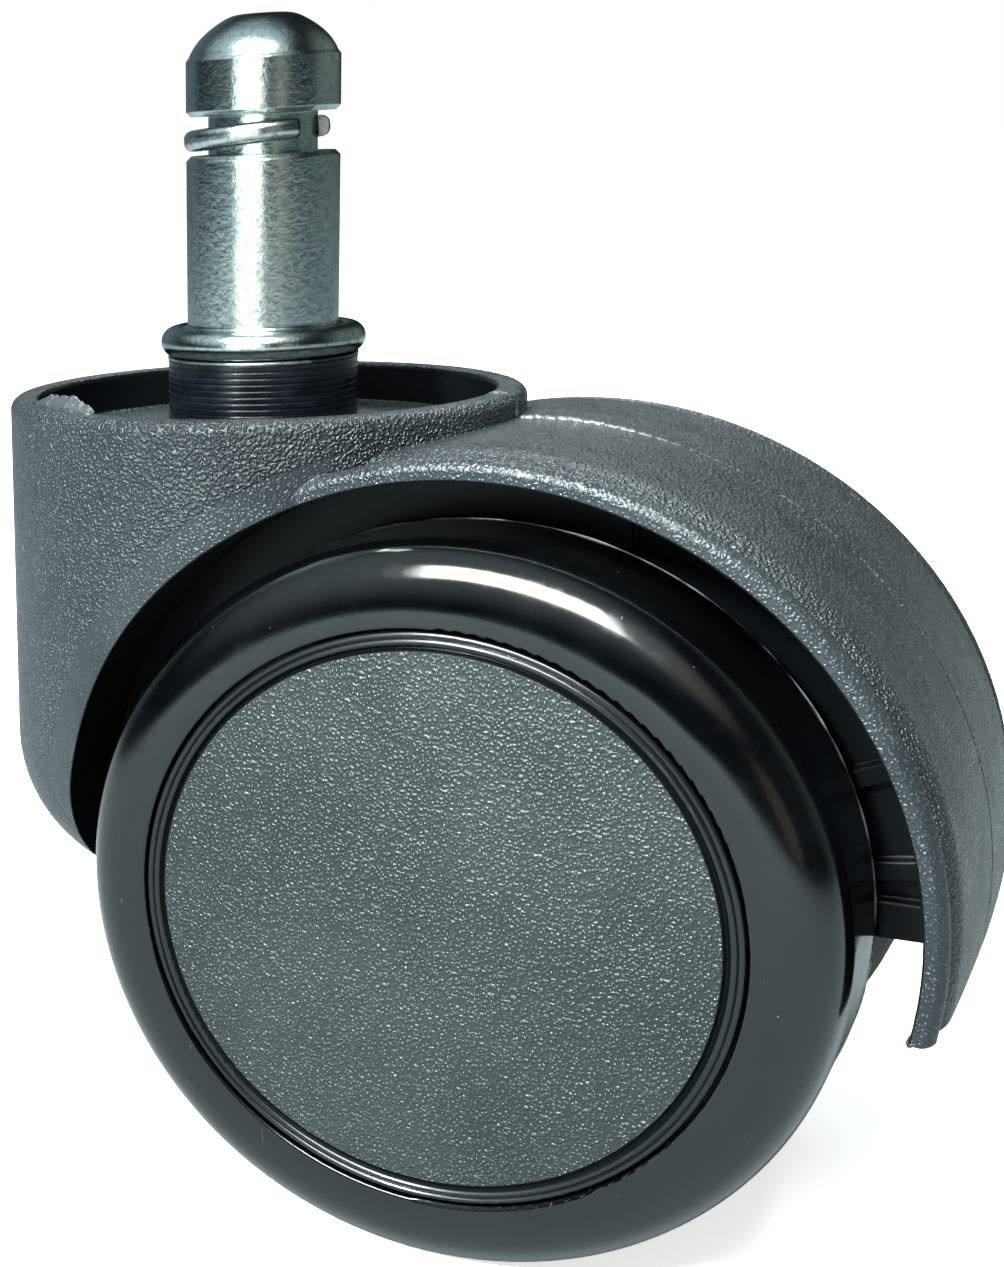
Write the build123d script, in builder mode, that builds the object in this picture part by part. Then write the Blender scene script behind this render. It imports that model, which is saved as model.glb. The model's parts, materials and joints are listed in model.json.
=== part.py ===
from build123d import *
from math import cos, pi, radians, sin
import os

# Twin-wheel swivel caster for an office chair: an 11 mm grip-ring stem, a one-piece hooded
# housing and two 50 mm wheels. Millimetres. The origin is on the swivel axis, where the
# straight shank begins just above the collar. +Z runs up the stem, +X from the swivel axis
# towards the axle, and -Y is the left wheel (the caster rolls stem first, towards -X).

# ---- Driving dimensions ----
SHANK_R = 5.5            # 11 mm shank
STEM_TOP = 22.0          # shank length above the collar
WHEEL_R = 25.0           # 50 mm wheels
TRAIL = 20.0             # swivel axis to axle
LOAD_HEIGHT = 62.0       # floor to the bottom of the straight shank
AXLE_Z = WHEEL_R - LOAD_HEIGHT

# Stem
SPINDLE_R = 4.0
SPINDLE_END = -26.4
COLLAR_R = 7.45
COLLAR_EDGE_R = 1.15     # the collar's edge is a full round
COLLAR_Z = -1.2          # height of the collar's middle
COLLAR_ROOT_R = 0.3
COLLAR_BOTTOM = COLLAR_Z - COLLAR_EDGE_R
GROOVE_BOTTOM = 12.2
GROOVE_TOP = 15.0
GROOVE_R = 3.9
EDGE_BREAK = 0.35
HEAD_END = 18.9          # top of the head's straight wall
NOSE = ((5.3, 19.15), (4.4, 20.5), (2.9, 21.6), (1.3, STEM_TOP))     # rounded nose above it
NOSE_TANGENTS = ((-0.4, 1), (-1, 0))
SPINDLE_GROOVE_R = 3.3

# Grip ring: a split ring of flat wire, lying over to one side of its groove
RING_OUTER_R = 5.22
RING_INNER_R = 4.4
RING_H = 1.5
RING_EDGE_R = 0.6
RING_SHIFT = 0.44
RING_SHIFT_DIR = 204.0   # degrees about +Z
RING_TILT = 4.2
RING_GAP_FROM = -32.0
RING_GAP_TO = 12.0

# Swivel bearing
WASHER_T = 0.2
THRUST_WASHER_R = 6.95
RUN_GAP = 0.05           # radial and end clearance of every running fit
BUSH_TOP = COLLAR_BOTTOM - WASHER_T - RUN_GAP
NECK_R = 6.9
BUSH_R = 6.2
BUSH_END = -23.0
NECK_RING_PITCH = 0.45   # fine turned rings around the neck
NECK_RING_DEPTH = 0.03
NECK_RING_H = 0.14
CLIP_T = 0.7
CLIP_SLACK = 0.1

# Housing
CUP_R = 18.8
CUP_TOP = -5.0
CUP_EDGE_R = 0.8
CUP_BELLY_Z = -31.0      # below this height the cup's wall curves in under itself
CUP_BELLY_R = 11.0
WELL_R = 16.6
WELL_FLOOR = -8.0
WELL_EDGE_R = 0.4
SOCKET_RELIEF_R = 6.8
POCKET_R = 28.4          # wheel pockets, concentric with the axle
HOOD_R = 30.3
HOOD_HALF_W = 16.5
HOOD_TAIL = -10.0        # degrees about the axle from +X, positive upwards
HOOD_INNER_END = 150.0
TAIL_CORNER_R = 1.5
SHOULDER_Y = 12.4        # the crown's edge, the valley beside it and the lip's crest
SHOULDER_R = 30.1
VALLEY_Y = 14.6
VALLEY_R = 29.2
LIP_Y = 15.7
LIP_R = 29.8
LIP_EDGE_R = 29.15
LIP_ROUND = 0.1          # how far the lip's edge bulges past its chord's middle
LIP_TANGENT = (-0.1, -1)     # directions of the valley's curve, as radius and distance out
SHOULDER_TANGENT = (0.06, -1)
SEAM_HALF_W = 0.2
SEAM_DEPTH = 0.3
WEB_HALF_W = 9.3
WEB_WALL = 1.8
WEB_BOTTOM = -37.9
WEB_BORDER = 2.4
WEB_RECESS = 1.0
WEB_ROOT_X = 29.0
RIB_ANGLES = (8, 22)
RIB_T = 1.2
AXLE_BOSS_R = 7.5
FRONT_HOLLOW_FROM = 9.0
FRONT_HOLLOW_TO = 12.3
FRONT_HOLLOW_TOP = -12.0
SEAM_SWEEP = 104.0       # degrees from the tail to the cup

# Axle and its fittings
AXLE_R = 3.0
AXLE_HALF = 19.2
AXLE_GROOVE_R = 2.45
AXLE_CLIP_R = 5.0
AXLE_CLIP_Y = 17.6
SPACER_R = 5.6
SPACER_T = 0.5

# Wheels, as radius and distance from the mid-plane
HUB_INNER_Y = WEB_HALF_W + SPACER_T + 2 * RUN_GAP
HUB_OUTER_Y = 17.4
WHEEL_BUSH_R = 4.6
HUB_R = 7.6
CORE_R = 21.6
CORE_RIM_R = 18.2
CORE_INNER_Y = 10.8
CORE_OUTER_Y = 20.2
CORE_DISC_Y = 15.2
CORE_DISC_T = 2.0
CORE_RIBS = 8
CORE_RIB_START_Y = 11.8
CORE_RIB_ROOT_R = 5.2    # inside the hub's wall, where the ribs begin
TREAD_INNER_Y = 10.4
TREAD_EDGE = 0.35
TREAD_OUTER_Y = 17.7
FACE_Y = 22.0
CAP_SEAT_R = 19.8
FACE_EDGE_R = 0.25
SHOULDER_POWER = 2.45    # superellipse from the tread round to the face
SHOULDER_STEPS = 8

# Hub caps
CAP_R = 19.62
CAP_BORDER_Y = 21.7
CAP_BEAD = 0.46          # width of each of the two beads around the cap
CAP_BEAD_H = 0.2
CAP_GROOVE = 0.3
CAP_DOME_R = 18.28
CAP_DOME_Y = 21.85
CAP_TOP_Y = 22.6
CAP_WALL = 1.5
CAP_SKIRT_T = 1.4
CAP_SKIRT_Y = 17.8

AXLE_AXIS = Axis((TRAIL, 0, AXLE_Z), (0, -1, 0))
SIDES = (("left", -1), ("right", 1))


def polar(radius, degrees):
    """A point at this radius and angle, in a sketch's own plane."""
    return (radius * cos(radians(degrees)), radius * sin(radians(degrees)))


def wheel_plane(side):
    """Plane for wheel profiles: local x is the radius, local y the distance out from y = 0."""
    return Plane(origin=(TRAIL, 0, AXLE_Z), x_dir=(1, 0, 0), z_dir=(0, 0, side))


def axle_plane(y, side=1):
    """Plane across the axle at this distance from the mid-plane, facing outwards."""
    return Plane(origin=(TRAIL, side * y, AXLE_Z), x_dir=(1, 0, 0), z_dir=(0, side, 0))


def save(part, name):
    part.label = name
    export_step(part, f"parts/{name}.step")


os.makedirs("parts", exist_ok=True)

# ---- Stem: nose, grip-ring groove, shank, collar and spindle, turned in one piece ----
collar_edge_x = COLLAR_R - COLLAR_EDGE_R
root_x = SHANK_R + COLLAR_ROOT_R
root_share = COLLAR_ROOT_R / (COLLAR_ROOT_R + COLLAR_EDGE_R)
root_end = (root_x + (collar_edge_x - root_x) * root_share, COLLAR_Z * root_share)
clip_groove_top = BUSH_END - WASHER_T * 2 - CLIP_SLACK
clip_groove_bottom = clip_groove_top - CLIP_T - CLIP_SLACK

with BuildPart() as stem:
    with BuildSketch(Plane.XZ):
        with BuildLine():
            Polyline(
                (0, SPINDLE_END),
                (SPINDLE_R - EDGE_BREAK, SPINDLE_END),
                (SPINDLE_R, SPINDLE_END + EDGE_BREAK),
                (SPINDLE_R, clip_groove_bottom),
                (SPINDLE_GROOVE_R, clip_groove_bottom),
                (SPINDLE_GROOVE_R, clip_groove_top),
                (SPINDLE_R, clip_groove_top),
                (SPINDLE_R, COLLAR_BOTTOM),
                (collar_edge_x, COLLAR_BOTTOM),
            )
            ThreePointArc((collar_edge_x, COLLAR_BOTTOM), (COLLAR_R, COLLAR_Z), root_end)
            RadiusArc(root_end, (SHANK_R, 0), COLLAR_ROOT_R)
            Polyline(
                (SHANK_R, 0),
                (SHANK_R, GROOVE_BOTTOM - EDGE_BREAK),
                (SHANK_R - EDGE_BREAK, GROOVE_BOTTOM),
                (GROOVE_R, GROOVE_BOTTOM),
                (GROOVE_R, GROOVE_TOP),
                (SHANK_R - EDGE_BREAK, GROOVE_TOP),
                (SHANK_R, GROOVE_TOP + EDGE_BREAK),
                (SHANK_R, HEAD_END),
                NOSE[0],
            )
            Spline(*NOSE, tangents=NOSE_TANGENTS)
            Polyline(NOSE[-1], (0, STEM_TOP), (0, SPINDLE_END))
        make_face()
    revolve(axis=Axis.Z)
save(stem.part, "stem")

# ---- Grip ring: split, off-centre and slightly tilted in the groove ----
ring_shift = polar(RING_SHIFT, RING_SHIFT_DIR)
ring_plane = Plane(
    origin=(ring_shift[0], ring_shift[1], (GROOVE_BOTTOM + GROOVE_TOP) / 2),
    x_dir=(cos(radians(RING_TILT)), 0, sin(radians(RING_TILT))),
    z_dir=(-sin(radians(RING_TILT)), 0, cos(radians(RING_TILT))),
)
gap_reach = 2 * RING_OUTER_R
with BuildPart() as grip_ring:
    with BuildSketch(ring_plane):
        Circle(RING_OUTER_R)
        Circle(RING_INNER_R, mode=Mode.SUBTRACT)
        with BuildLine():
            Polyline(
                (0, 0), polar(gap_reach, RING_GAP_FROM), polar(gap_reach, RING_GAP_TO), (0, 0)
            )
        make_face(mode=Mode.SUBTRACT)
    extrude(amount=RING_H / 2, both=True)
    fillet(grip_ring.edges().filter_by(GeomType.CIRCLE).group_by(SortBy.RADIUS)[-1], radius=RING_EDGE_R)
save(grip_ring.part, "grip_ring")

# ---- Swivel bearing: thrust washer, flanged bush, retaining washer and clip ----
with BuildPart() as thrust_washer:
    with BuildSketch(Plane.XY.offset(COLLAR_BOTTOM - WASHER_T)):
        Circle(THRUST_WASHER_R)
        Circle(SPINDLE_R + RUN_GAP, mode=Mode.SUBTRACT)
    extrude(amount=WASHER_T)
save(thrust_washer.part, "thrust_washer")

neck_rings = int((BUSH_TOP - WELL_FLOOR) / NECK_RING_PITCH)
with BuildPart() as swivel_bush:
    with BuildSketch(Plane.XY.offset(WELL_FLOOR)):
        Circle(NECK_R)
    extrude(amount=BUSH_TOP - WELL_FLOOR)
    with BuildSketch(Plane.XY.offset(BUSH_END)):
        Circle(BUSH_R)
    extrude(amount=WELL_FLOOR - BUSH_END)
    with BuildSketch(Plane.XY.offset(BUSH_END)):
        Circle(SPINDLE_R + RUN_GAP)
    extrude(amount=BUSH_TOP - BUSH_END, mode=Mode.SUBTRACT)
    with BuildSketch(Plane.XZ):
        for step in range(1, neck_rings + 1):
            with Locations((NECK_R, BUSH_TOP - step * NECK_RING_PITCH)):
                Rectangle(2 * NECK_RING_DEPTH, NECK_RING_H)
    revolve(axis=Axis.Z, mode=Mode.SUBTRACT)
save(swivel_bush.part, "swivel_bush")

with BuildPart() as retaining_washer:
    with BuildSketch(Plane.XY.offset(clip_groove_top)):
        Circle(BUSH_R)
        Circle(SPINDLE_R + RUN_GAP, mode=Mode.SUBTRACT)
    extrude(amount=2 * WASHER_T)
save(retaining_washer.part, "retaining_washer")

with BuildPart() as stem_clip:
    with BuildSketch(Plane.XY.offset(clip_groove_top - CLIP_T)):
        Circle(BUSH_R)
        Circle(SPINDLE_GROOVE_R + RUN_GAP, mode=Mode.SUBTRACT)
        with Locations((BUSH_R, 0)):
            Rectangle(2 * BUSH_R, SPINDLE_R, mode=Mode.SUBTRACT)
    extrude(amount=CLIP_T)
save(stem_clip.part, "stem_clip")

# ---- Housing: cup, hood, web between the wheels, all one moulding ----
tail_x = (cos(radians(HOOD_TAIL)), 0, sin(radians(HOOD_TAIL)))
tail_z = (-sin(radians(HOOD_TAIL)), 0, cos(radians(HOOD_TAIL)))
tail_plane = Plane(origin=(TRAIL, 0, AXLE_Z), x_dir=tail_x, z_dir=tail_z)
cup_plane = Plane(origin=(0, 0, 0), x_dir=(-1, 0, 0), z_dir=(0, 1, 0))
tail_side_plane = Plane(origin=(TRAIL, 0, AXLE_Z), x_dir=tail_x, z_dir=(0, -1, 0))
hood_sweep = HOOD_INNER_END - HOOD_TAIL
belly_x = CUP_R - CUP_BELLY_R
belly_bottom = CUP_BELLY_Z - CUP_BELLY_R
lip_corner = (
    (LIP_R + LIP_EDGE_R) / 2 + LIP_ROUND,
    (LIP_Y + HOOD_HALF_W) / 2 + LIP_ROUND,
)

with BuildPart() as housing:
    # Cup: a drum with a rounded rim, its lower wall curving in under itself
    with BuildSketch(cup_plane):
        with BuildLine():
            Line((0, belly_bottom), (belly_x, belly_bottom))
            RadiusArc((belly_x, belly_bottom), (CUP_R, CUP_BELLY_Z), -CUP_BELLY_R)
            Line((CUP_R, CUP_BELLY_Z), (CUP_R, CUP_TOP - CUP_EDGE_R))
            RadiusArc((CUP_R, CUP_TOP - CUP_EDGE_R), (CUP_R - CUP_EDGE_R, CUP_TOP), -CUP_EDGE_R)
            Polyline((CUP_R - CUP_EDGE_R, CUP_TOP), (0, CUP_TOP), (0, belly_bottom))
        make_face()
    revolve(axis=Axis.Z)

    # Hood: a crowned shell with a soft valley beside each edge lip
    with BuildSketch(tail_plane):
        with BuildLine():
            Line((POCKET_R, -HOOD_HALF_W), (POCKET_R, HOOD_HALF_W))
            ThreePointArc((SHOULDER_R, -SHOULDER_Y), (HOOD_R, 0), (SHOULDER_R, SHOULDER_Y))
            for side in (-1, 1):
                Line((POCKET_R, side * HOOD_HALF_W), (LIP_EDGE_R, side * HOOD_HALF_W))
                ThreePointArc(
                    (LIP_EDGE_R, side * HOOD_HALF_W),
                    (lip_corner[0], side * lip_corner[1]),
                    (LIP_R, side * LIP_Y),
                )
                Spline(
                    (LIP_R, side * LIP_Y),
                    (VALLEY_R, side * VALLEY_Y),
                    (SHOULDER_R, side * SHOULDER_Y),
                    tangents=[
                        (tangent[0], side * tangent[1]) for tangent in (LIP_TANGENT, SHOULDER_TANGENT)
                    ],
                )
        make_face()
    revolve(axis=AXLE_AXIS, revolution_arc=hood_sweep)
    with BuildSketch(tail_side_plane):
        with Locations((HOOD_R - TAIL_CORNER_R, 0)):
            Rectangle(2 * TAIL_CORNER_R, TAIL_CORNER_R, align=(Align.MIN, Align.MIN))
        with Locations((HOOD_R - TAIL_CORNER_R, TAIL_CORNER_R)):
            Circle(TAIL_CORNER_R, mode=Mode.SUBTRACT)
    extrude(amount=HOOD_HALF_W, both=True, mode=Mode.SUBTRACT)

    # Web between the wheels, with the boss that holds the axle
    with BuildSketch(Plane.XZ):
        with Locations((TRAIL, AXLE_Z)):
            Circle((POCKET_R + HOOD_R) / 2 - WEB_RECESS / 2)
        with Locations((TRAIL, WEB_BOTTOM)):
            Rectangle(
                3 * POCKET_R, 2 * POCKET_R, align=(Align.CENTER, Align.MIN), mode=Mode.INTERSECT
            )
        with Locations((TRAIL, AXLE_Z)):
            Circle(AXLE_BOSS_R)
    extrude(amount=WEB_HALF_W, both=True)

    # Well around the stem's neck, and the socket for the swivel bush
    with BuildSketch(Plane.XZ):
        with BuildLine():
            Polyline((0, CUP_TOP), (0, WELL_FLOOR), (WELL_R, WELL_FLOOR))
            Line((WELL_R, WELL_FLOOR), (WELL_R, CUP_TOP - WELL_EDGE_R))
            RadiusArc((WELL_R, CUP_TOP - WELL_EDGE_R), (WELL_R + WELL_EDGE_R, CUP_TOP), WELL_EDGE_R)
            Line((WELL_R + WELL_EDGE_R, CUP_TOP), (0, CUP_TOP))
        make_face()
    revolve(axis=Axis.Z, mode=Mode.SUBTRACT)
    with BuildSketch(Plane.XY.offset(BUSH_END)):
        Circle(BUSH_R)
    extrude(amount=WELL_FLOOR - BUSH_END, mode=Mode.SUBTRACT)
    with BuildSketch(Plane.XY.offset(belly_bottom)):
        Circle(SOCKET_RELIEF_R)
    extrude(amount=BUSH_END - belly_bottom, mode=Mode.SUBTRACT)

    # Wheel pockets
    for _, side in SIDES:
        with BuildSketch(axle_plane(WEB_HALF_W, side)):
            Circle(POCKET_R)
        extrude(amount=CUP_R, mode=Mode.SUBTRACT)

    # Hollows in the web, open at the bottom: one ahead of the axle boss and one behind it
    with BuildSketch(Plane.XZ):
        with Locations((TRAIL, AXLE_Z)):
            Circle(POCKET_R)
        with Locations((WEB_ROOT_X, AXLE_Z - POCKET_R)):
            Rectangle(
                POCKET_R, 2 * POCKET_R, align=(Align.MIN, Align.MIN), mode=Mode.INTERSECT
            )
        with Locations(((FRONT_HOLLOW_FROM + FRONT_HOLLOW_TO) / 2, AXLE_Z - POCKET_R)):
            Rectangle(
                FRONT_HOLLOW_TO - FRONT_HOLLOW_FROM,
                FRONT_HOLLOW_TOP - AXLE_Z + POCKET_R,
                align=(Align.CENTER, Align.MIN),
            )
    extrude(amount=WEB_HALF_W - WEB_WALL, both=True, mode=Mode.SUBTRACT)

    # Recess in each side of the web, crossed by radial ribs and bordered along its lower edge
    for _, side in SIDES:
        with BuildSketch(Plane.XZ.offset(-side * WEB_HALF_W)):
            with Locations((TRAIL, AXLE_Z)):
                Circle(POCKET_R - WEB_RECESS)
                Circle(AXLE_BOSS_R + WEB_RECESS, mode=Mode.SUBTRACT)
            with Locations((WEB_ROOT_X, WEB_BOTTOM + WEB_BORDER)):
                Rectangle(
                    POCKET_R, 2 * POCKET_R, align=(Align.MIN, Align.MIN), mode=Mode.INTERSECT
                )
            for angle in RIB_ANGLES:
                with Locations(Location((TRAIL, AXLE_Z), angle)):
                    Rectangle(
                        POCKET_R, RIB_T, align=(Align.MIN, Align.CENTER), mode=Mode.SUBTRACT
                    )
        extrude(amount=side * WEB_RECESS, mode=Mode.SUBTRACT)

    # Axle bore, pressed fit
    with BuildSketch(axle_plane(-WEB_HALF_W)):
        Circle(AXLE_R)
    extrude(amount=2 * WEB_HALF_W, mode=Mode.SUBTRACT)

    # Parting seam over the crown of the hood
    with BuildSketch(tail_plane):
        with Locations((HOOD_R, 0)):
            Rectangle(2 * SEAM_DEPTH, 2 * SEAM_HALF_W)
    revolve(axis=AXLE_AXIS, revolution_arc=SEAM_SWEEP, mode=Mode.SUBTRACT)
save(housing.part, "housing")

# ---- Axle, with a clip groove near each end ----
with BuildPart() as axle:
    with BuildSketch(axle_plane(-AXLE_HALF)):
        Circle(AXLE_R)
    extrude(amount=2 * AXLE_HALF)
    chamfer(axle.edges().group_by(Axis.Y)[0] + axle.edges().group_by(Axis.Y)[-1], length=EDGE_BREAK)
    for _, side in SIDES:
        with BuildSketch(axle_plane(AXLE_CLIP_Y, side)):
            Circle(AXLE_R)
            Circle(AXLE_GROOVE_R, mode=Mode.SUBTRACT)
        extrude(amount=CLIP_T + CLIP_SLACK, mode=Mode.SUBTRACT)
save(axle.part, "axle")

hub_y = HUB_OUTER_Y - HUB_INNER_Y
bead_y = CAP_BORDER_Y + CAP_BEAD_H
bead_edges = [CAP_R - step * CAP_BEAD for step in range(3)]
groove_r = (bead_edges[-1] + CAP_DOME_R) / 2

for name, side in SIDES:
    # Spacer washer between the web and the hub
    with BuildPart() as spacer_washer:
        with BuildSketch(axle_plane(WEB_HALF_W, side)):
            Circle(SPACER_R)
            Circle(AXLE_R + RUN_GAP, mode=Mode.SUBTRACT)
        extrude(amount=SPACER_T)
    save(spacer_washer.part, f"spacer_washer_{name}")

    # Retaining clip in the axle's groove
    with BuildPart() as axle_clip:
        with BuildSketch(axle_plane(AXLE_CLIP_Y + CLIP_SLACK / 2, side)):
            Circle(AXLE_CLIP_R)
            Circle(AXLE_GROOVE_R + RUN_GAP, mode=Mode.SUBTRACT)
            with Locations((0, AXLE_CLIP_R)):
                Rectangle(2 * AXLE_GROOVE_R - EDGE_BREAK, 2 * AXLE_CLIP_R, mode=Mode.SUBTRACT)
        extrude(amount=CLIP_T)
    save(axle_clip.part, f"axle_clip_{name}")

    # Plain bush pressed into the hub
    with BuildPart() as wheel_bush:
        with BuildSketch(axle_plane(HUB_INNER_Y, side)):
            Circle(WHEEL_BUSH_R)
            Circle(AXLE_R + RUN_GAP, mode=Mode.SUBTRACT)
        extrude(amount=hub_y)
    save(wheel_bush.part, f"wheel_bush_{name}")

    # Wheel core: hub, disc and rim in one moulding, stiffened by ribs on the inner side
    with BuildPart() as wheel_core:
        with BuildSketch(axle_plane(HUB_INNER_Y, side)):
            Circle(HUB_R)
        extrude(amount=hub_y)
        with BuildSketch(axle_plane(CORE_INNER_Y, side)):
            Circle(CORE_R)
            Circle(CORE_RIM_R, mode=Mode.SUBTRACT)
        extrude(amount=CORE_OUTER_Y - CORE_INNER_Y)
        with BuildSketch(axle_plane(CORE_DISC_Y, side)):
            Circle(CORE_RIM_R)
        extrude(amount=CORE_DISC_T)
        with BuildSketch(axle_plane(CORE_RIB_START_Y, side)):
            Circle(CORE_RIM_R)
            with PolarLocations(0, CORE_RIBS):
                Rectangle(CORE_R, RIB_T, align=(Align.MIN, Align.CENTER))
            Circle(CORE_RIM_R, mode=Mode.INTERSECT)
            Circle(CORE_RIB_ROOT_R, mode=Mode.SUBTRACT)
        extrude(amount=CORE_DISC_Y - CORE_RIB_START_Y)
        with BuildSketch(axle_plane(HUB_INNER_Y, side)):
            Circle(WHEEL_BUSH_R)
        extrude(amount=hub_y, mode=Mode.SUBTRACT)
    save(wheel_core.part, f"wheel_core_{name}")

    # Tyre: flat tread, then a full shoulder round to the wheel's outer face
    shoulder = []
    for step in range(SHOULDER_STEPS + 1):
        turn = pi / 2 * step / SHOULDER_STEPS
        out = sin(turn) ** (2 / SHOULDER_POWER)
        up = cos(turn) ** (2 / SHOULDER_POWER)
        shoulder.append(
            (
                CAP_SEAT_R + FACE_EDGE_R + (WHEEL_R - CAP_SEAT_R - FACE_EDGE_R) * out,
                TREAD_OUTER_Y + (FACE_Y - TREAD_OUTER_Y) * up,
            )
        )
    with BuildPart() as tyre:
        with BuildSketch(wheel_plane(side)):
            with BuildLine():
                RadiusArc((CAP_SEAT_R, FACE_Y - FACE_EDGE_R), shoulder[0], FACE_EDGE_R)
                Spline(*shoulder, tangents=((1, 0), (0, -1)))
                Polyline(
                    shoulder[-1],
                    (WHEEL_R, TREAD_INNER_Y + TREAD_EDGE),
                    (WHEEL_R - TREAD_EDGE, TREAD_INNER_Y),
                    (CORE_R, TREAD_INNER_Y),
                    (CORE_R, CORE_OUTER_Y),
                    (CAP_SEAT_R, CORE_OUTER_Y),
                    (CAP_SEAT_R, FACE_Y - FACE_EDGE_R),
                )
            make_face()
        revolve(axis=AXLE_AXIS)
    save(tyre.part, f"tyre_{name}")

    # Hub cap: domed disc inside two fine beads, with a skirt that snaps into the rim
    with BuildPart() as hub_cap:
        with BuildSketch(wheel_plane(side)):
            with BuildLine():
                for outer, inner in zip(bead_edges, bead_edges[1:]):
                    ThreePointArc(
                        (outer, CAP_BORDER_Y), ((outer + inner) / 2, bead_y), (inner, CAP_BORDER_Y)
                    )
                Polyline(
                    (bead_edges[-1], CAP_BORDER_Y),
                    (groove_r, CAP_BORDER_Y - CAP_GROOVE),
                    (CAP_DOME_R, CAP_DOME_Y),
                )
                TangentArc((0, CAP_TOP_Y), (CAP_DOME_R, CAP_DOME_Y), tangent=(1, 0))
                Polyline(
                    (0, CAP_TOP_Y),
                    (0, CAP_TOP_Y - CAP_WALL),
                    (CORE_RIM_R - CAP_SKIRT_T, CORE_OUTER_Y),
                    (CORE_RIM_R - CAP_SKIRT_T, CAP_SKIRT_Y),
                    (CORE_RIM_R, CAP_SKIRT_Y),
                    (CORE_RIM_R, CORE_OUTER_Y),
                    (CAP_R, CORE_OUTER_Y),
                    (CAP_R, CAP_BORDER_Y),
                )
            make_face()
        revolve(axis=AXLE_AXIS)
    save(hub_cap.part, f"hub_cap_{name}")
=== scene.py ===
import json
import math
import random

import bpy
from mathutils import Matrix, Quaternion, Vector


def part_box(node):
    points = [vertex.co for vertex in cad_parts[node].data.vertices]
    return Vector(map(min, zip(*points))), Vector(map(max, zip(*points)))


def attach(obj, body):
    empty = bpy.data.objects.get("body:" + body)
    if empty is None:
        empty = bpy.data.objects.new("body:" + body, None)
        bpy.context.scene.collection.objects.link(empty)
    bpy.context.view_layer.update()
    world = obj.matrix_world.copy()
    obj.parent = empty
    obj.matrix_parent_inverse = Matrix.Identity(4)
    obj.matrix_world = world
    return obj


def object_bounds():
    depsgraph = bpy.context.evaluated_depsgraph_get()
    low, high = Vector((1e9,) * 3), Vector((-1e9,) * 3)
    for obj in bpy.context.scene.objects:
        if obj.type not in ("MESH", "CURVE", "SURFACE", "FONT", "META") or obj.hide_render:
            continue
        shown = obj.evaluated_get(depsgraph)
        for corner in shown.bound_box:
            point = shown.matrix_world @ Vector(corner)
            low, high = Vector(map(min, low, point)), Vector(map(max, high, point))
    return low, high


# Looks for the chair caster: every CAD node keeps its shape and gets a finish, and small moulding
# marks are added as pieces of their own. Metres throughout, in the CAD's frame.

MM = 0.001
SEED = 11
# Sizes of the housing and the hub caps that no node's box gives.
HOOD_HALF_WIDTH = 16.5 * MM
HOOD_WALL = 1.9 * MM
RIM_WIDTH = 1.95 * MM
WELL_DEPTH = 2.9 * MM
CAP_BORDER = 1.3 * MM

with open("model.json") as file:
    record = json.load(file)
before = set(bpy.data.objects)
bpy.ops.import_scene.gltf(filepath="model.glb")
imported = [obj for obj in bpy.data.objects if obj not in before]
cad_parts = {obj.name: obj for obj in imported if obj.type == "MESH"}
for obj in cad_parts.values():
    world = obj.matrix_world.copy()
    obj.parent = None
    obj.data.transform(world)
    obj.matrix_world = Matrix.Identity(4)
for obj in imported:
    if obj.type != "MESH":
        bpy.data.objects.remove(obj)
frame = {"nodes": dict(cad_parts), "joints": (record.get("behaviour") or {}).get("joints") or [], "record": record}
cad_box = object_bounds()
nodes = frame["nodes"]
joints = {joint["name"]: joint for joint in frame["joints"]}

# ---- Sizes read from the frame ----
axle = Vector(joints["left_wheel_spin"]["pos_m"])
tyre_low, tyre_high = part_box("tyre_left")
wheel_r = (tyre_high.x - tyre_low.x) / 2
housing_low, housing_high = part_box("housing")
floor_z = tyre_low.z
hood_r = housing_high.x - axle.x
web_half_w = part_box("spacer_washer_right")[0].y
pocket_r = hood_r - HOOD_WALL
cup_r = -housing_low.x
cup_top = housing_high.z
well_r = cup_r - RIM_WIDTH
well_floor = cup_top - WELL_DEPTH
cap_low, cap_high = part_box("hub_cap_left")
cap_r = (cap_high.x - cap_low.x) / 2
border_r = cap_r - CAP_BORDER


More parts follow.
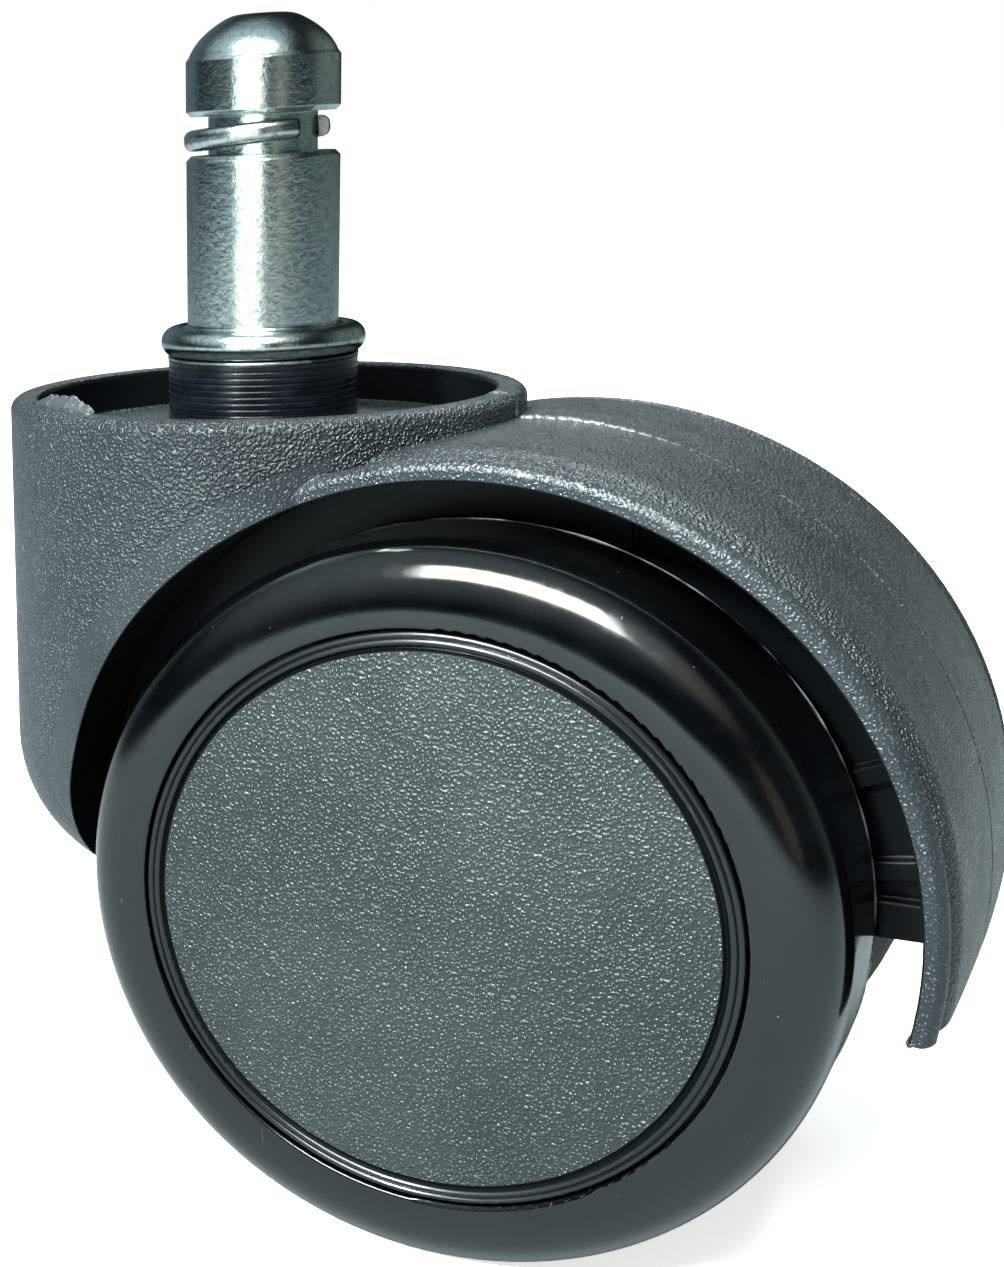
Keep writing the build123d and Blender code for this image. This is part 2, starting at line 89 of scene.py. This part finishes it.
# ---- Node helpers ----
class Finish:
    """A node material being built: a Principled shader and the links into it."""

    def __init__(self, name, roughness=0.5, metallic=0.0, **more):
        self.material = bpy.data.materials.new(name)
        self.material.use_nodes = True
        self.tree = self.material.node_tree
        self.shader = self.tree.nodes["Principled BSDF"]
        self.shader.inputs["Roughness"].default_value = roughness
        self.shader.inputs["Metallic"].default_value = metallic
        for key, value in more.items():
            self.shader.inputs[key.replace("_", " ")].default_value = value
        self.place = self.add("ShaderNodeTexCoord").outputs["Object"]

    def add(self, kind, inputs=None, **settings):
        node = self.tree.nodes.new(kind)
        for key, value in settings.items():
            setattr(node, key, value)
        for key, value in (inputs or {}).items():
            self.feed(value, node.inputs[key])
        return node

    def feed(self, value, socket):
        if isinstance(value, bpy.types.NodeSocket):
            self.tree.links.new(value, socket)
        else:
            socket.default_value = value

    def set(self, name, value):
        self.feed(value, self.shader.inputs[name])

    def stretched(self, x, y, z):
        """The piece's own coordinates, scaled along each axis."""
        return self.add("ShaderNodeMapping", {"Vector": self.place, "Scale": (x, y, z)}).outputs[0]

    def noise(self, scale, detail=3.0, rough=0.5, place=None, distortion=0.0):
        return self.add(
            "ShaderNodeTexNoise",
            {
                "Vector": place or self.place,
                "Scale": scale,
                "Detail": detail,
                "Roughness": rough,
                "Distortion": distortion,
            },
        ).outputs["Fac"]

    def cells(self, scale, feature="SMOOTH_F1", place=None):
        node = self.add(
            "ShaderNodeTexVoronoi", {"Vector": place or self.place, "Scale": scale}, feature=feature
        )
        return node.outputs["Distance"]

    def ramp(self, value, low, high, out_low=0.0, out_high=1.0):
        return self.add(
            "ShaderNodeMapRange",
            {
                "Value": value,
                "From Min": low,
                "From Max": high,
                "To Min": out_low,
                "To Max": out_high,
            },
            interpolation_type="SMOOTHSTEP",
        ).outputs["Result"]

    def maths(self, operation, a, b=0.0):
        return self.add("ShaderNodeMath", {0: a, 1: b}, operation=operation).outputs[0]

    def distance(self, a, b):
        """How far a point is from an axis, given its offsets along the two other axes."""
        squares = [self.maths("POWER", side, 2.0) for side in (a, b)]
        return self.maths("SQRT", self.maths("ADD", *squares))

    def mix(self, share, a, b, kind="RGBA"):
        """a where share is 0 and b where it is 1. Both are colours, or vectors for kind VECTOR."""
        node = self.add("ShaderNodeMix", {"Factor": share}, data_type=kind)
        for value, key in ((a, "A"), (b, "B")):
            socket = next(s for s in node.inputs if s.name == key and s.type == kind)
            self.feed(value if isinstance(value, bpy.types.NodeSocket) else (*value, 1), socket)
        return next(s for s in node.outputs if s.type == kind)

    def bump(self, height, depth, normal=None):
        inputs = {"Height": height, "Distance": depth, "Strength": 1.0}
        if normal is not None:
            inputs["Normal"] = normal
        return self.add("ShaderNodeBump", inputs).outputs["Normal"]

    def rounded(self, radius):
        """The normal with every sharp edge softened over this radius."""
        return self.add("ShaderNodeBevel", {"Radius": radius}, samples=4).outputs["Normal"]

    def edges(self, radius):
        """1 along sharp edges, 0 on open faces."""
        normal = self.add("ShaderNodeNewGeometry").outputs["Normal"]
        sides = {0: self.rounded(radius), 1: normal}
        agreement = self.add("ShaderNodeVectorMath", sides, operation="DOT_PRODUCT").outputs["Value"]
        return self.ramp(self.maths("SUBTRACT", 1.0, agreement), 0.02, 0.25)


GRAIN_SHINE = 0.42
SMOOTH_ROUGHNESS = 0.22


def grained_plastic(
    name, dark, light, grain, depth, roughness, edge_radius,
    smooth=None, shine=0.5, guard=None, fine=None, seam=None,
):
    """Moulded plastic with a spark-eroded grain: pebbles, a finer grit, paler edges, and the pebbles' peaks
    coloured paler as painted highlight.
    grain is the number of pebbles per metre and depth their height. The rest are optional masks,
    each a function of the finish: smooth is 1 where the mould was left smooth and glossy, and
    there the colour is darkened, as painted shade in the housing's pockets and well; shine is
    how strongly that area reflects; fine is 1 where the grain is shallower; seam is 1 down in
    the parting groove, darkened as painted shade. guard mends the softened normal."""
    f = Finish(name, IOR=1.5)
    waves = {0: f.noise(grain * 0.4, 1), 1: (0.3 / grain,) * 3}
    warp = f.add("ShaderNodeVectorMath", waves, operation="MULTIPLY").outputs[0]
    place = f.add("ShaderNodeVectorMath", {0: f.place, 1: warp}, operation="ADD").outputs[0]
    pebble = f.ramp(f.cells(grain, place=place), 0.08, 0.62, 1.0, 0.0)
    grit = f.noise(grain * 1.7, 3, 0.6)
    height = f.maths("ADD", pebble, f.maths("MULTIPLY", grit, 0.35))
    patch = f.noise(70, 3, 0.55)
    glint_and_roughness = f.noise(260, 4, 0.6)
    # Painted highlight: the pebbles' peaks get a paler colour, standing in for light glinting on them.
    painted_glints = f.maths("MULTIPLY", f.ramp(height, 0.8, 1.2), f.ramp(glint_and_roughness, 0.3, 0.7, 0.4, 1.0))
    edge = f.maths("MULTIPLY", f.edges(edge_radius), f.ramp(f.noise(900, 3), 0.35, 0.65, 0.3, 1.0))
    colour = f.mix(f.ramp(patch, 0.3, 0.7, 0.0, 0.6), dark, light)
    colour = f.mix(f.maths("MULTIPLY", painted_glints, 0.55), colour, [c * 3.2 for c in light])
    colour = f.mix(f.maths("MULTIPLY", edge, 0.5), colour, [c * 2.6 for c in light])
    rough = f.ramp(glint_and_roughness, 0.25, 0.75, roughness - 0.06, roughness + 0.08)
    rough = f.maths("ADD", rough, f.maths("MULTIPLY", painted_glints, -0.08))
    if fine is not None:
        height = f.maths("MULTIPLY", height, f.ramp(fine(f), 0.0, 1.0, 1.0, 0.3))
    if seam is not None:
        # Painted shade: the parting groove is coloured near black.
        colour = f.mix(seam(f), colour, [c * 0.1 for c in dark])
    f.set("Specular IOR Level", GRAIN_SHINE)
    if smooth is not None:
        smooth_darkened = smooth(f)
        open_face = f.maths("SUBTRACT", 1.0, smooth_darkened)
        # Painted shade: where smooth is 1 the colour goes near black, darkening the housing's wheel pockets and
        # well; the hub cap's smooth border is darkened the same way.
        colour = f.mix(smooth_darkened, colour, [c * 0.22 for c in dark])
        rough = f.maths("MULTIPLY", rough, open_face)
        rough = f.maths("ADD", rough, f.maths("MULTIPLY", smooth_darkened, SMOOTH_ROUGHNESS))
        height = f.maths("MULTIPLY", height, open_face)
        f.set("Specular IOR Level", f.ramp(open_face, 0.0, 1.0, shine, GRAIN_SHINE))
    f.set("Base Color", colour)
    f.set("Roughness", rough)
    soft = f.rounded(edge_radius)
    f.set("Normal", f.bump(height, depth, guard(f, soft) if guard else soft))
    return f.material


def from_axle(f):
    """Distance from the wheels' axis, and the coordinates it came from."""
    split = f.add("ShaderNodeSeparateXYZ", {0: f.place}).outputs
    along = f.maths("SUBTRACT", split["X"], axle.x)
    above = f.maths("SUBTRACT", split["Z"], axle.z)
    return f.distance(along, above), split


def shaded_housing_insides(f):
    """1 in the wheel pockets and on the wall of the well, where the moulding is smooth and the finish darkens the
    colour as painted shade.
    """
    reach, split = from_axle(f)
    pocket = f.maths(
        "MULTIPLY",
        f.ramp(reach, pocket_r + 0.05 * MM, pocket_r + 0.15 * MM, 1.0, 0.0),
        f.ramp(f.maths("ABSOLUTE", split["Y"]), web_half_w - 1.3 * MM, web_half_w - 1.1 * MM),
    )
    well = f.maths(
        "MULTIPLY",
        f.ramp(f.distance(split["X"], split["Y"]), well_r - 0.2 * MM, well_r + 0.05 * MM, 1.0, 0.0),
        f.ramp(split["Z"], well_floor - 0.05 * MM, well_floor + 0.05 * MM),
    )
    return f.maths("MAXIMUM", pocket, well)


def edge_lips(f):
    """1 on the lips along the hood's two edges."""
    reach, split = from_axle(f)
    side = f.maths("ABSOLUTE", split["Y"])
    aside = f.ramp(side, HOOD_HALF_WIDTH - 1.7 * MM, HOOD_HALF_WIDTH - 1.1 * MM)
    return f.maths("MULTIPLY", aside, f.ramp(reach, hood_r + 0.4 * MM, hood_r + 0.8 * MM, 1.0, 0.0))


def parting_groove_shade(f):
    """1 down in the groove of the hood's parting seam, which the finish colours near black as painted shade."""
    reach, split = from_axle(f)
    across = f.ramp(f.maths("ABSOLUTE", split["Y"]), 0.17 * MM, 0.24 * MM, 1.0, 0.0)
    return f.maths("MULTIPLY", across, f.ramp(reach, hood_r - 0.2 * MM, hood_r - 0.1 * MM, 1.0, 0.0))


def cap_border(f):
    """1 on the hub cap's smooth border, outside its grained dome."""
    reach, _ = from_axle(f)
    return f.ramp(reach, border_r - 0.04 * MM, border_r + 0.04 * MM)


def dome_centre(f, normal):
    """The normal, turned straight out along the axle close to the dome's centre."""
    reach, split = from_axle(f)
    outward = f.add("ShaderNodeCombineXYZ", {"Y": f.maths("SIGN", split["Y"])}).outputs[0]
    turned = f.add(
        "ShaderNodeVectorTransform", {"Vector": outward},
        vector_type="NORMAL", convert_from="OBJECT", convert_to="WORLD",
    ).outputs[0]
    return f.mix(f.ramp(reach, 2.6 * MM, 4.2 * MM, 1.0, 0.0), normal, turned, "VECTOR")


def glossy_tread(name):
    """Polished black plastic: handling haze, hairline scratches and specks of dust."""
    f = Finish(name, IOR=1.52, Coat_Weight=0.25, Coat_Roughness=0.04)
    haze = f.noise(120, 4, 0.6)
    grime = f.noise(700, 5, 0.65)
    hair = f.ramp(f.noise(160, 1, 0.3, f.stretched(26, 5, 4.5), 0.6), 0.815, 0.82)
    speck = f.ramp(f.cells(800, "F1"), 0.055, 0.03)
    dust = f.maths("MULTIPLY", speck, f.ramp(f.noise(90, 2), 0.5, 0.62))
    colour = f.mix(f.ramp(haze, 0.35, 0.7, 0.0, 0.55), (0.0008, 0.001, 0.0012), (0.0026, 0.0032, 0.0034))
    colour = f.mix(f.maths("MULTIPLY", dust, 0.6), colour, (0.28, 0.29, 0.28))
    colour = f.mix(f.maths("MULTIPLY", hair, 0.3), colour, (0.2, 0.21, 0.21))
    reach, _ = from_axle(f)
    # Painted highlight: past the tread's edge, the hair of flash is coloured pale grey, standing in for the light
    # the edge catches.
    flash = f.maths(
        "MULTIPLY",
        f.ramp(reach, wheel_r, wheel_r + 0.02 * MM),
        f.ramp(f.noise(600, 3), 0.35, 0.6, 0.25, 1.0),
    )
    colour = f.mix(flash, colour, (0.30, 0.31, 0.29))
    f.set("Base Color", colour)
    rough = f.ramp(haze, 0.3, 0.75, 0.11, 0.19)
    rough = f.maths("ADD", rough, f.maths("MULTIPLY", f.ramp(grime, 0.5, 0.75), 0.09))
    rough = f.maths("ADD", rough, f.maths("MULTIPLY", f.maths("ADD", dust, hair), 0.3))
    f.set("Roughness", rough)
    height = f.maths("ADD", f.noise(95, 2), f.maths("MULTIPLY", grime, 0.012))
    height = f.maths("ADD", height, f.maths("MULTIPLY", hair, -0.02))
    f.set("Normal", f.bump(height, 0.12 * MM))
    return f.material


def plated_steel(name, tint, shade, roughness, ends=None):
    """Zinc-plated steel: a grainy skin, faint turning rings, passivation tints in bands around it.
    ends, if given, makes a mask from the finish: 1 on the sheared end faces, which are coloured near black as
    painted shade."""
    f = Finish(name, metallic=1.0)
    rings = f.noise(1.0, 3, 0.7, f.stretched(120, 120, 4200))
    cloud = f.noise(150, 4, 0.6, f.stretched(1, 1, 0.6))
    warm = f.noise(95, 3, 0.5, f.stretched(1, 1, 0.25))
    pit = f.noise(1900, 4, 0.7)
    colour = f.mix(f.ramp(cloud, 0.35, 0.68), tint, shade)
    colour = f.mix(f.ramp(warm, 0.52, 0.68, 0.0, 0.5), colour, (0.52, 0.49, 0.42))
    colour = f.mix(f.ramp(pit, 0.46, 0.68, 0.0, 0.6), colour, [c * 0.4 for c in shade])
    colour = f.mix(f.maths("MULTIPLY", f.edges(0.2 * MM), 0.45), colour, (0.84, 0.88, 0.87))
    if ends is not None:
        # Painted shade: the ring's sheared end faces are coloured near black.
        colour = f.mix(ends(f), colour, (0.045, 0.045, 0.04))
    f.set("Base Color", colour)
    rough = f.ramp(cloud, 0.3, 0.7, roughness, roughness + 0.07)
    f.set("Roughness", f.maths("ADD", rough, f.ramp(pit, 0.45, 0.75, 0.0, 0.08)))
    height = f.maths("ADD", f.maths("MULTIPLY", rings, 0.06), f.maths("MULTIPLY", pit, 0.9))
    f.set("Normal", f.bump(height, 0.03 * MM, f.rounded(0.15 * MM)))
    return f.material


def ring_end_shade(f):
    """1 on the two sheared faces of the split ring, either side of its gap, which the finish colours near black as
    painted shade.
    """
    split = f.add("ShaderNodeSeparateXYZ", {0: f.place}).outputs
    turn = f.maths("ARCTAN2", split["Y"], split["X"])
    past_low = f.ramp(turn, math.radians(-40), math.radians(-37))
    before_high = f.ramp(turn, math.radians(14), math.radians(17), 1.0, 0.0)
    return f.maths("MULTIPLY", f.maths("MULTIPLY", past_low, before_high), 0.9)


def turned_plastic(name, base, roughness):
    """Glossy turned bush: fine rings, slight smears."""
    f = Finish(name, IOR=1.42)
    rings = f.noise(1.0, 2, 0.6, f.stretched(60, 60, 3800))
    smear = f.noise(300, 4, 0.6, f.stretched(1, 1, 3))
    f.set("Base Color", f.mix(f.ramp(smear, 0.35, 0.7), base, [c * 2.4 for c in base]))
    f.set("Roughness", f.ramp(smear, 0.3, 0.7, roughness, roughness + 0.14))
    f.set("Normal", f.bump(rings, 0.03 * MM, f.rounded(0.08 * MM)))
    return f.material


NYLON_DARK = (0.010, 0.0125, 0.0145)
NYLON_LIGHT = (0.024, 0.029, 0.031)
finishes = {
    "black_nylon": grained_plastic(
        "black_nylon_grain", NYLON_DARK, NYLON_LIGHT, 4800, 0.15 * MM, 0.29, 0.25 * MM,
        smooth=shaded_housing_insides, shine=0.10, fine=edge_lips, seam=parting_groove_shade,
    ),
    "cap_plastic": grained_plastic(
        "cap_fine_grain", (0.010, 0.0125, 0.013), (0.022, 0.027, 0.027), 4800, 0.075 * MM, 0.29,
        0.06 * MM, smooth=cap_border, guard=dome_centre,
    ),
    "gloss_tread": glossy_tread("gloss_tread_black"),
    "zinc_steel": plated_steel("zinc_plate", (0.52, 0.60, 0.59), (0.34, 0.42, 0.42), 0.14),
    "spring_steel": plated_steel(
        "spring_steel_dull", (0.50, 0.56, 0.55), (0.35, 0.41, 0.40), 0.2, ring_end_shade
    ),
    "bush_plastic": turned_plastic("bush_black_gloss", (0.0015, 0.002, 0.003), 0.16),
}
# The moulding marks' finish: a finer, smoother grain, and colours paler than the housing's as painted highlight,
# for the light the thin flash catches.
flash_highlight_finish = grained_plastic(
    "nylon_flash_highlight", NYLON_LIGHT, (0.05, 0.058, 0.06), 2600, 0.04 * MM, 0.2, 0.05 * MM
)
# Every CAD node takes the finish of its material slot.
for entry in frame["record"]["subparts"]:
    mesh = nodes[entry["node"]].data
    mesh.materials.clear()
    mesh.materials.append(finishes[entry["material_slot"]])


# ---- Small moulding marks, each a piece of its own ----
dice = random.Random(SEED)


def loft(name, rings, body="housing", finish=flash_highlight_finish):
    """A closed skin through a row of rings, each with the same number of points."""
    count = len(rings[0])
    points = [point for ring in rings for point in ring]
    faces = [tuple(reversed(range(count)))]
    for ring in range(len(rings) - 1):
        for k in range(count):
            a, b = ring * count + k, ring * count + (k + 1) % count
            faces.append((a, b, b + count, a + count))
    faces.append(tuple(range((len(rings) - 1) * count, len(rings) * count)))
    mesh = bpy.data.meshes.new(name)
    mesh.from_pydata([tuple(point) for point in points], [], faces)
    mesh.polygons.foreach_set("use_smooth", [True] * len(mesh.polygons))
    mesh.materials.append(finish)
    piece = bpy.data.objects.new(name, mesh)
    bpy.context.scene.collection.objects.link(piece)
    rounding = piece.modifiers.new("rounding", "SUBSURF")
    rounding.levels = rounding.render_levels = 1
    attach(piece, body)


def swell(share):
    """0 at both ends and 1 in the middle."""
    return math.sin(math.pi * min(max(share, 0.0), 1.0)) ** 0.7


def about_swivel(radius, degrees, z):
    angle = math.radians(degrees)
    return Vector((radius * math.cos(angle), radius * math.sin(angle), z))


def about_axle(radius, degrees, y):
    angle = math.radians(degrees)
    return Vector((axle.x + radius * math.cos(angle), y, axle.z + radius * math.sin(angle)))


def rim_flap():
    """A torn flake of flash standing on the cup's rim, leaning over the well."""
    start, sweep, steps = 220, 29, 34
    rings = []
    for step in range(steps + 1):
        share = step / steps
        height = (0.15 + 1.15 * swell(share) * dice.uniform(0.62, 1.0)) * MM
        lean = height * dice.uniform(0.35, 0.6)
        angle = start + sweep * share
        rings.append([
            about_swivel(well_r + 0.95 * MM, angle, cup_top - 0.18 * MM),
            about_swivel(well_r, angle, cup_top - 0.22 * MM),
            about_swivel(well_r - lean, angle, cup_top + height * 0.94),
            about_swivel(well_r - lean + 0.24 * MM, angle, cup_top + height),
        ])
    loft("rim_flap", rings)


def rim_tab():
    """Parting flash crossing the rim on the hood's side."""
    # Millimetres out from the cup's wall and up from its rim: out of the well, over, and down.
    path = [
        (-2.35, -0.9), (-2.15, 0.02), (-1.6, 0.16), (-0.75, 0.14), (0.05, -0.35), (0.2, -1.2), (0.2, -2.4),
    ]
    root = 0.5 * MM
    rings = []
    for out, rise in path:
        half = dice.uniform(0.24, 0.34) * MM
        x = cup_r + out * MM
        z = cup_top + rise * MM
        rings.append([
            Vector((x, -half, z)), Vector((x, half, z)),
            Vector((x - root, half, z - root)), Vector((x - root, -half, z - root)),
        ])
    loft("rim_tab", rings)


def seam_flash():
    """An uneven fin of flash on the parting seam beside the cup, sinking into it further down."""
    start, sweep, steps = 92.0, 27.0, 90
    bottom = hood_r - 0.38 * MM
    rings = []
    for step in range(steps + 1):
        share = step / steps
        angle = start - sweep * share
        sunk = share ** 3
        proud = 0.34 * (1 - sunk) * dice.uniform(0.5, 1.0) - 0.30 * sunk
        top = hood_r + proud * MM
        drift = dice.uniform(-0.03, 0.03) * MM
        rings.append([
            about_axle(bottom, angle, -0.26 * MM),
            about_axle(bottom, angle, 0.16 * MM),
            about_axle(top, angle, 0.10 * MM + drift),
            about_axle(top, angle, -0.20 * MM + drift),
        ])
    loft("seam_flash", rings)


def tail_burr(name, side):
    """A nick of flash left at the inner corner of the hood's tail."""
    tail, steps = -10.0, 12
    rings = []
    for step in range(steps + 1):
        share = step / steps
        size = (0.06 + 0.34 * swell(share) * dice.uniform(0.6, 1.0)) * MM
        y = side * (HOOD_HALF_WIDTH + 0.04 * MM - 1.6 * MM * share)
        rings.append([
            about_axle(pocket_r - size * 0.7, tail + 0.35, y),
            about_axle(pocket_r + 0.35 * MM, tail + 0.6, y),
            about_axle(pocket_r + 0.3 * MM, tail - 0.25, y),
            about_axle(pocket_r - size * 0.5, tail - 0.5, y),
        ])
    loft(name, rings)


def tread_flash(name, body, y):
    """The hair of flash left around the tread's inner edge, where the wheel's mould parted."""
    steps = 180
    root = wheel_r - 0.3 * MM
    half = 0.06 * MM
    rings = []
    for step in range(steps + 1):
        angle = 360.0 * step / steps
        tall = dice.uniform(0.02, 0.11) * MM if step < steps else 0.05 * MM
        tip = wheel_r + tall
        rings.append([
            about_axle(root, angle, y - half), about_axle(root, angle, y + half),
            about_axle(tip, angle, y + half * 0.6), about_axle(tip, angle, y - half * 0.6),
        ])
    loft(name, rings, body, finishes["gloss_tread"])


tread_inset = tyre_high.y - 0.35 * MM
tread_flash("tread_flash_left", "left_wheel", tread_inset)
tread_flash("tread_flash_right", "right_wheel", -tread_inset)
rim_flap()
rim_tab()
seam_flash()
tail_burr("tail_burr_left", -1)
tail_burr("tail_burr_right", 1)


# ---- Floor and light ----
def heading(azimuth, elevation):
    """Unit vector pointing away from the object, azimuth 0 towards the left wheel's side."""
    a, e = math.radians(azimuth), math.radians(elevation)
    return Vector((math.sin(a) * math.cos(e), -math.cos(a) * math.cos(e), math.sin(e)))


def softbox(name, azimuth, elevation, distance, size, radiance, colour, only=()):
    """A rectangular light aimed at the object, set by how bright its face is.
    only, if given, holds the pieces it lights."""
    data = bpy.data.lights.new(name, "AREA")
    data.shape = "RECTANGLE"
    data.size, data.size_y = size
    data.energy = radiance * math.pi * size[0] * size[1]
    data.color = colour
    light = bpy.data.objects.new(name, data)
    away = heading(azimuth, elevation)
    light.location = centre + away * distance
    light.rotation_mode = "QUATERNION"
    light.rotation_quaternion = away.to_track_quat("Z", "Y")
    bpy.context.scene.collection.objects.link(light)
    if only:
        lit = bpy.data.collections.new(f"lit_by_{name}")
        for piece in only:
            lit.objects.link(piece)
        light.light_linking.receiver_collection = lit


def floor_sheet():
    size = 3.0
    mesh = bpy.data.meshes.new("floor")
    corners = [(-size, -size), (size, -size), (size, size), (-size, size)]
    mesh.from_pydata([(x, y, floor_z) for x, y in corners], [], [(0, 1, 2, 3)])
    floor = bpy.data.objects.new("floor", mesh)
    bpy.context.scene.collection.objects.link(floor)
    f = Finish("pale_floor", roughness=0.9)
    seen = f.add("ShaderNodeLightPath").outputs["Is Camera Ray"]
    f.set("Base Color", f.mix(seen, (0.225, 0.25, 0.26), (0.9, 0.9, 0.9)))
    f.set("Specular IOR Level", 0.0)
    f.set("Emission Color", (1, 1, 1, 1))
    f.set("Emission Strength", f.maths("MULTIPLY", seen, 0.72))
    mesh.materials.append(f.material)


def studio_world(lobes, base):
    """Soft broad patches of light around the object; the camera itself sees plain white."""
    world = bpy.data.worlds.new("studio")
    bpy.context.scene.world = world
    world.use_nodes = True
    tree = world.node_tree
    tree.nodes.clear()
    link, new = tree.links.new, tree.nodes.new
    direction = new("ShaderNodeTexCoord").outputs["Generated"]
    total = None
    for azimuth, elevation, inner, outer, strength, colour in lobes:
        dot = new("ShaderNodeVectorMath")
        dot.operation = "DOT_PRODUCT"
        link(direction, dot.inputs[0])
        dot.inputs[1].default_value = heading(azimuth, elevation)
        mask = new("ShaderNodeMapRange")
        mask.interpolation_type = "SMOOTHSTEP"
        link(dot.outputs["Value"], mask.inputs["Value"])
        mask.inputs["From Min"].default_value = math.cos(math.radians(outer))
        mask.inputs["From Max"].default_value = math.cos(math.radians(inner))
        mask.inputs["To Max"].default_value = strength
        patch = new("ShaderNodeVectorMath")
        patch.operation = "SCALE"
        patch.inputs[0].default_value = colour
        link(mask.outputs["Result"], patch.inputs["Scale"])
        joined = new("ShaderNodeVectorMath")
        joined.operation = "ADD"
        link(patch.outputs[0], joined.inputs[0])
        if total is None:
            joined.inputs[1].default_value = base
        else:
            link(total, joined.inputs[1])
        total = joined.outputs[0]
    fill, seen = new("ShaderNodeBackground"), new("ShaderNodeBackground")
    link(total, fill.inputs["Color"])
    seen.inputs["Color"].default_value = (1, 1, 1, 1)
    choose = new("ShaderNodeMixShader")
    link(new("ShaderNodeLightPath").outputs["Is Camera Ray"], choose.inputs[0])
    link(fill.outputs[0], choose.inputs[1])
    link(seen.outputs[0], choose.inputs[2])
    link(choose.outputs[0], new("ShaderNodeOutputWorld").inputs["Surface"])


centre = (cad_box[0] + cad_box[1]) / 2
floor_sheet()
# azimuth, elevation, full out to, gone by (degrees), strength, colour
studio_world(
    [
        (-30, 62, 20, 60, 0.85, (0.76, 0.94, 1.0)),
        (40, 48, 6, 28, 0.7, (0.94, 1.0, 0.90)),
        (-125, 5, 15, 40, 0.20, (0.62, 0.86, 1.0)),
        (140, 8, 15, 45, 0.22, (0.82, 1.0, 0.88)),
        (50, 8, 4, 13, 0.45, (1.0, 0.86, 0.68)),
    ],
    (0.012, 0.015, 0.019),
)
steel = [nodes[name] for name in ("stem", "grip_ring", "thrust_washer")]
glossy = [nodes["tyre_left"], nodes["tyre_right"]]
caps = [nodes["hub_cap_left"], nodes["hub_cap_right"]]
meshes = [piece for piece in bpy.data.objects if piece.type == "MESH"]
plastic = [piece for piece in meshes if piece not in steel + glossy]
# azimuth, elevation (degrees), distance, size (metres), radiance, colour, the pieces it lights
softbox("overhead", 0, 56, 0.70, (0.46, 0.32), 38.0, (0.95, 1.0, 0.98))
softbox("key", -14, 31, 0.80, (0.075, 0.085), 800.0, (0.86, 0.98, 1.0), plastic)
softbox("front", -16, 4, 0.80, (0.30, 0.22), 3.8, (0.84, 0.98, 1.0), plastic)
softbox("cap_sheen", -17, 2, 0.80, (0.22, 0.10), 9.0, (0.84, 0.98, 1.0), caps)
softbox("back", 190, 38, 0.80, (0.44, 0.34), 4.5, (0.86, 0.97, 1.0), plastic + [nodes["tyre_right"]])
softbox("band", 0, 6, 0.80, (0.54, 0.60), 4.4, (0.90, 1.0, 0.99), steel)


# ---- Camera ----
VIEWPOINT = Vector((62.92, -154.97, 15.39)) * MM
VIEW_AZIMUTH, VIEW_ELEVATION, VIEW_ROLL = 35.62, 14.11, math.radians(-3.27)
LENS, SENSOR = 61.541, 36.0
SHIFTS = {"shift_x": 0.58745, "shift_y": 0.03828}
SHIFT_FADE = 0.02


def shift_lens(lens, camera, station, channel, amount):
    """Lens shift while the camera stands at its station. A driver fades it out over the first
    centimetres away from there, so that the lens is centred in every other view."""
    curve = lens.driver_add(channel)
    curve.driver.type = "SUM"
    moved = curve.driver.variables.new()
    moved.type = "LOC_DIFF"
    moved.targets[0].id = camera
    moved.targets[1].id = station
    curve.modifiers.remove(curve.modifiers[0])
    curve.keyframe_points.insert(0.0, amount).interpolation = "LINEAR"
    curve.keyframe_points.insert(SHIFT_FADE, 0.0)


def place_camera():
    """The camera at its viewpoint, with its lens shifted as for an off-centre crop."""
    lens = bpy.data.cameras.new("camera")
    lens.sensor_width = SENSOR
    lens.lens = LENS
    lens.clip_start = 0.005
    lens.clip_end = 20
    camera = bpy.data.objects.new("camera", lens)
    camera.location = VIEWPOINT
    camera.rotation_mode = "QUATERNION"
    level = heading(VIEW_AZIMUTH, VIEW_ELEVATION).to_track_quat("Z", "Y")
    camera.rotation_quaternion = level @ Quaternion((0, 0, 1), VIEW_ROLL)
    station = bpy.data.objects.new("camera_station", None)
    station.location = VIEWPOINT
    for thing in (camera, station):
        bpy.context.scene.collection.objects.link(thing)
    for channel, amount in SHIFTS.items():
        shift_lens(lens, camera, station, channel, amount)
    bpy.context.scene.camera = camera


place_camera()
bpy.context.scene.view_settings.view_transform = "Standard"
